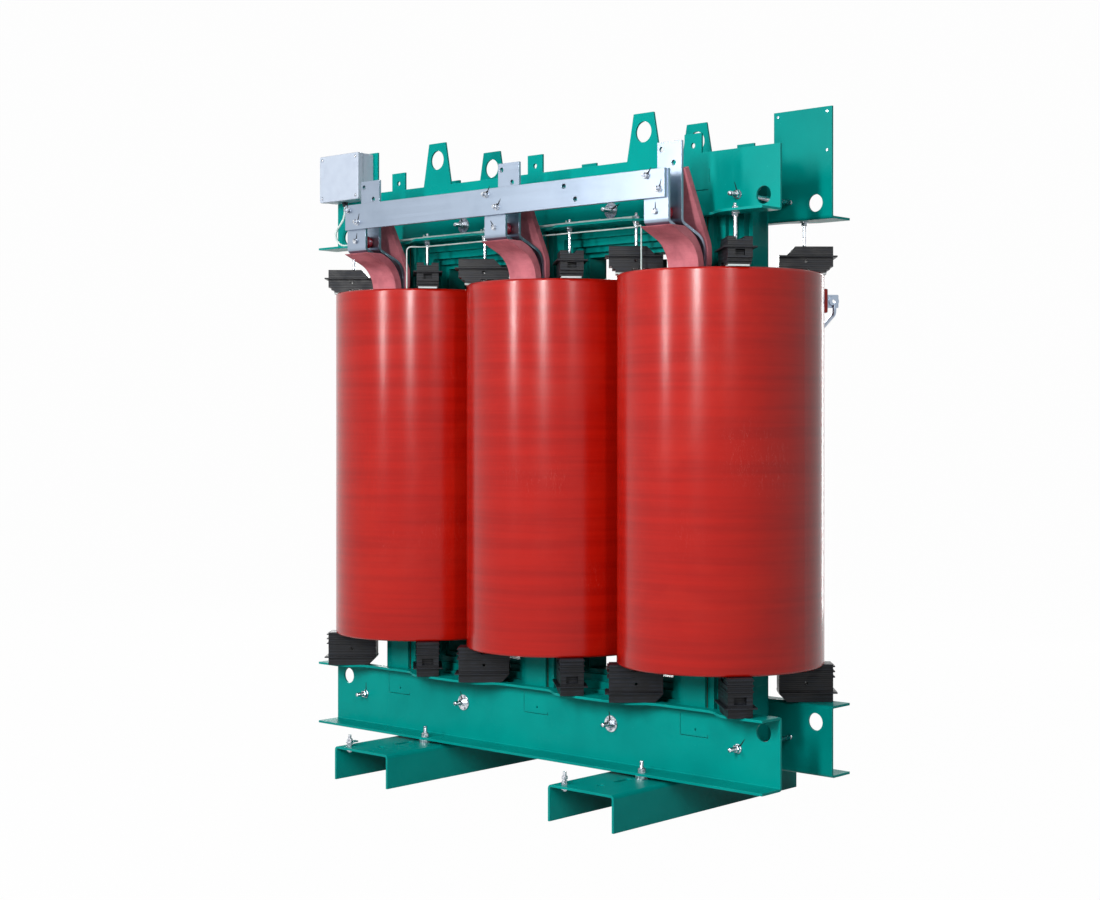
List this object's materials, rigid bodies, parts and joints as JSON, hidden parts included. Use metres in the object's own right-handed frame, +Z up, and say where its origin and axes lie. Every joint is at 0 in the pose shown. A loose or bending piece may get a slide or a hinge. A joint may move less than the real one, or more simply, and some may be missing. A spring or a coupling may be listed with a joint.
{
  "type": "dry-type transformer",
  "caption": "Dry-type three-phase transformer: cast-resin coils on a clamped stepped core with beams, foot channels, low-voltage bars and a sensor box.",
  "frame": {"origin": "on the floor, under the middle coil's axis and midway between the front and rear beams", "axes": "+Z up, X along the row of coils, -Y towards the low-voltage bars (front), +Y towards the high-voltage terminals"},
  "size_m": [2.1675, 0.976, 2.331],
  "materials": {
    "frame_green": "glossy paint",
    "cast_resin": "glossy",
    "foil_winding": "satin",
    "black_moulding": "satin",
    "pad_rubber": "matt",
    "zinc_steel": "bright zinc plated",
    "aluminium_bar": "mill finish",
    "pink_insulation": "satin",
    "red_insulator": "glossy",
    "grey_box": "satin",
    "white_cable": "satin",
    "brass": "plated",
    "pressboard": "matt"
  },
  "bodies": {
    "root": {"core_limbs": "frame_green", "core_lower_yoke": "frame_green", "core_upper_yoke": "frame_green", "tie_plates": "frame_green", "tie_plate_boards": "pressboard", "yoke_boards": "pressboard", "lower_beam_front": "frame_green", "lower_beam_rear": "frame_green", "upper_beam_front": "frame_green", "upper_beam_rear": "frame_green", "foot_channel_left": "frame_green", "foot_channel_right": "frame_green", "lower_clamp_studs": "zinc_steel", "lower_clamp_washers": "zinc_steel", "lower_clamp_nuts": "zinc_steel", "upper_clamp_studs": "zinc_steel", "upper_clamp_washers": "zinc_steel", "upper_clamp_nuts": "zinc_steel", "foot_bolts": "zinc_steel", "foot_nuts": "zinc_steel", "foot_washers": "zinc_steel", "foot_spacers": "zinc_steel", "earth_screws": "zinc_steel", "earth_lug": "zinc_steel", "hv_coil_left": "cast_resin", "hv_coil_middle": "cast_resin", "hv_coil_right": "cast_resin", "lv_coils": "foil_winding", "lower_supports": "black_moulding", "upper_supports": "black_moulding", "support_pads": "pad_rubber", "pressure_studs": "zinc_steel", "pressure_washers": "zinc_steel", "pressure_nuts": "zinc_steel", "star_bars": "aluminium_bar", "phase_bars": "aluminium_bar", "star_sleeves": "pink_insulation", "phase_sleeves": "pink_insulation", "neutral_bar": "aluminium_bar", "standoff_insulators": "red_insulator", "standoff_screws": "zinc_steel", "standoff_washers": "zinc_steel", "neutral_bolts": "zinc_steel", "neutral_nuts": "zinc_steel", "neutral_washers": "zinc_steel", "terminal_box_base": "grey_box", "terminal_box_lid": "grey_box", "terminal_box_screws": "zinc_steel", "end_plate_screws": "zinc_steel", "cable_gland": "black_moulding", "sensor_cable": "white_cable", "sensor_lead": "white_cable", "cable_ties": "white_cable", "hv_terminals": "aluminium_bar", "delta_links": "aluminium_bar", "tap_terminals": "brass", "tap_bridges": "brass"}
  },
  "joints": []
}
